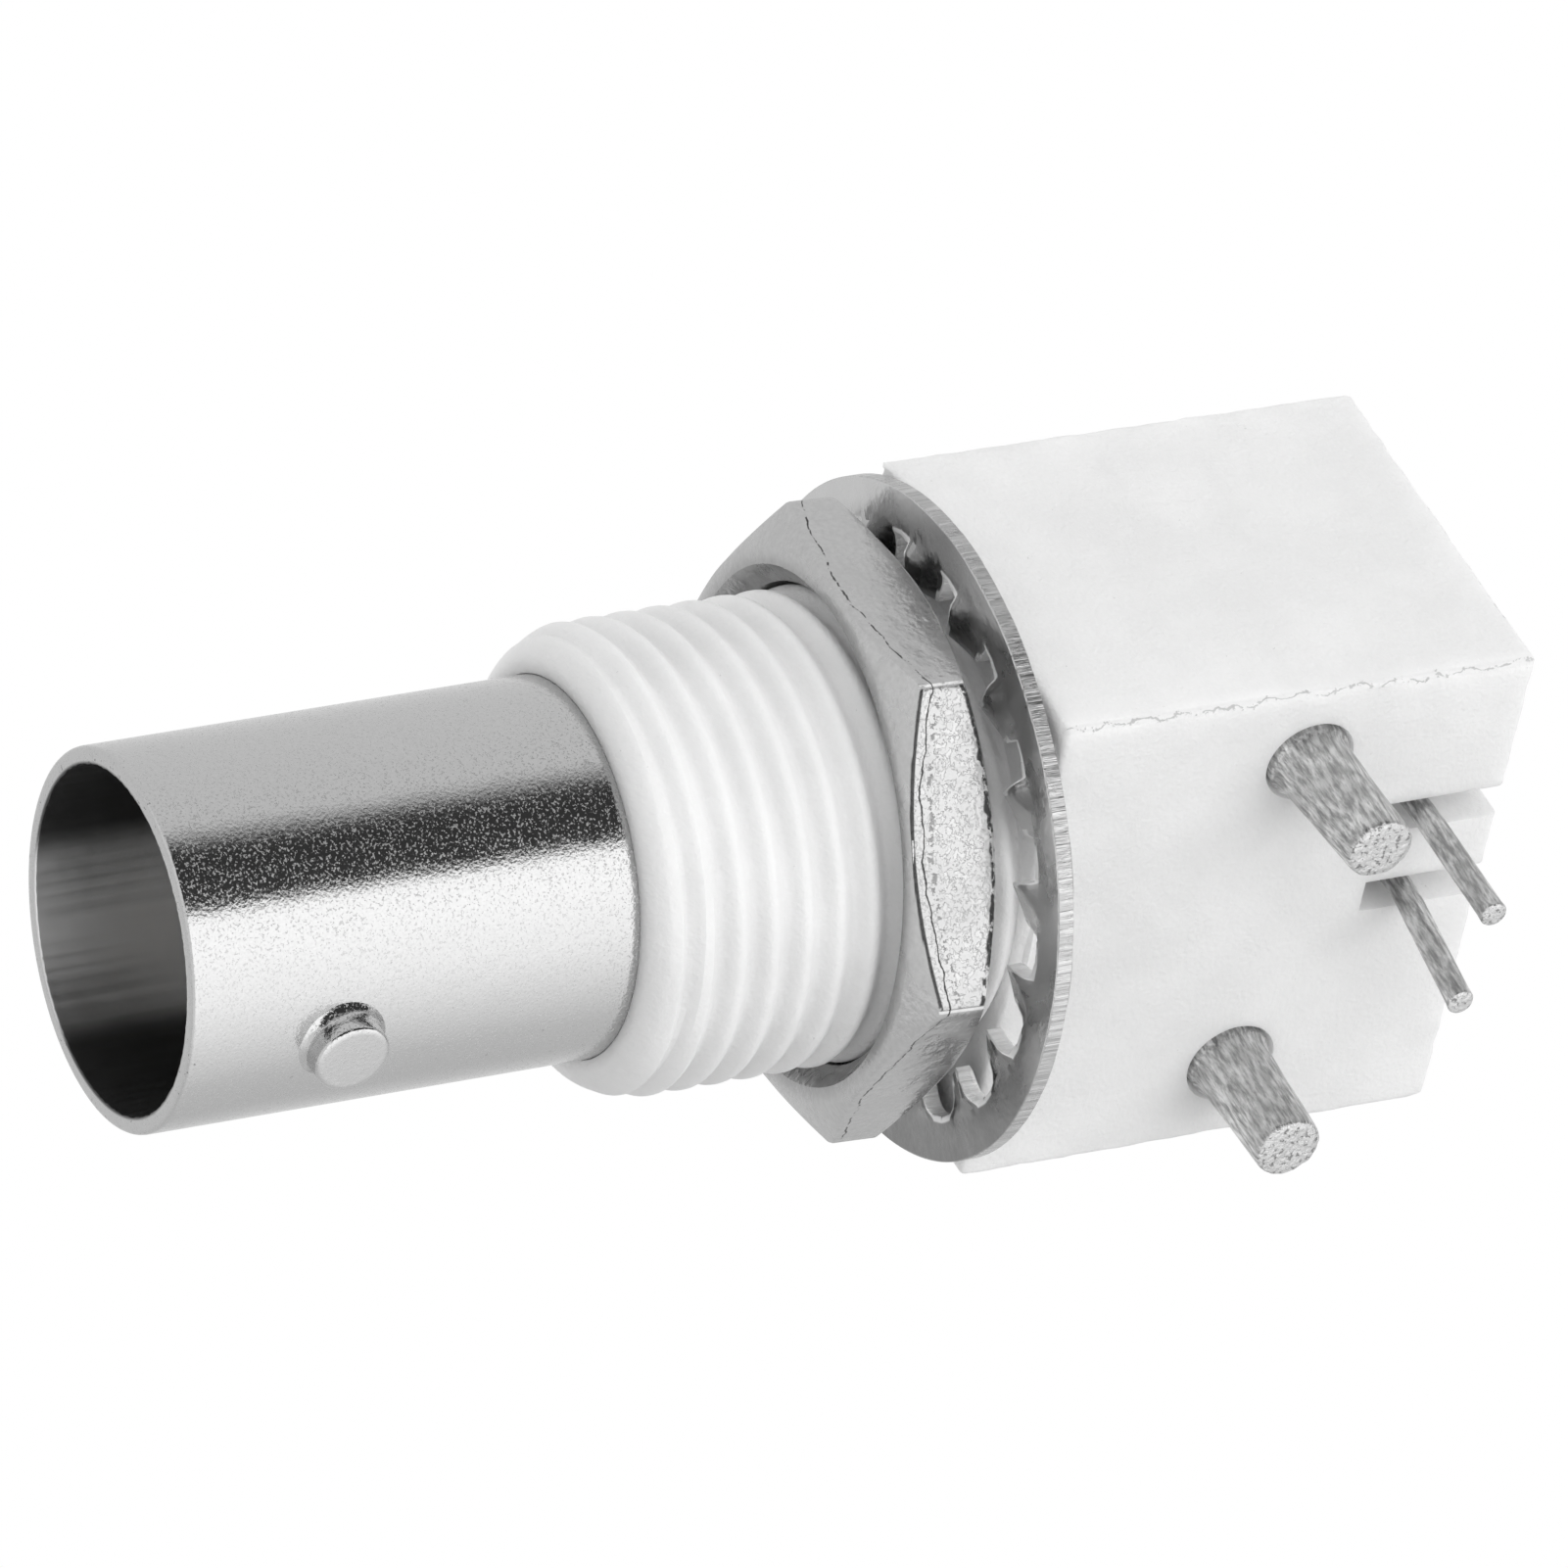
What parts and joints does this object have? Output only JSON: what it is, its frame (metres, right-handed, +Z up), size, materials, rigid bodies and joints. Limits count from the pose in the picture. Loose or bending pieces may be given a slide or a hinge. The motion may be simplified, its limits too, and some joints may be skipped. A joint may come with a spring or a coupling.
{
  "type": "bnc connector",
  "caption": "Right-angle board-mount coaxial bayonet jack: bright metal barrel with two lugs, white plastic body with threaded bushing, panel nut, toothed washer, posts and pins.",
  "frame": {"origin": "on the board face of the block, midway between the two board posts", "axes": "+Z up from the board, Y along the shell's axis with the shell's mouth towards -Y, X across the block"},
  "size_m": [0.017, 0.0351, 0.0179],
  "materials": {
    "white_plastic": "moulded, satin, slightly waxy",
    "bright_nickel": "bright nickel plate over a fine cast grain",
    "dielectric": "smooth, waxy",
    "gold_plate": "gold plate, bright",
    "tinned_wire": "dull tin plate with drawing streaks",
    "tinned_post": "dull tin plate with axial streaks and cut ends",
    "nut_nickel": "satin nickel plate with fine grain",
    "washer_nickel": "nickel-plated stamping with sheared edges"
  },
  "bodies": {
    "jack": {"housing": "white_plastic", "bayonet_shell": "bright_nickel", "insulator": "dielectric", "center_socket": "gold_plate", "signal_pin": "tinned_wire", "ground_pin": "tinned_wire", "board_post_left": "tinned_post", "board_post_right": "tinned_post"},
    "washer": {"lock_washer": "washer_nickel"},
    "nut": {"panel_nut": "nut_nickel"}
  },
  "joints": [
    {"name": "washer_slide", "type": "slide", "parent": "jack", "child": "washer", "axis": [0, 1, 0], "range_m": [-0.00635, 0]},
    {"name": "nut_turn", "type": "hinge", "parent": "washer", "child": "nut", "pos_m": [0, -0.00945, 0.0058], "axis": [0, 1, 0], "range_deg": [-2520, 0]}
  ],
  "couplings": [
    {"joint": "washer_slide", "follows": "nut_turn", "m_per_rad": 0.00014435}
  ]
}
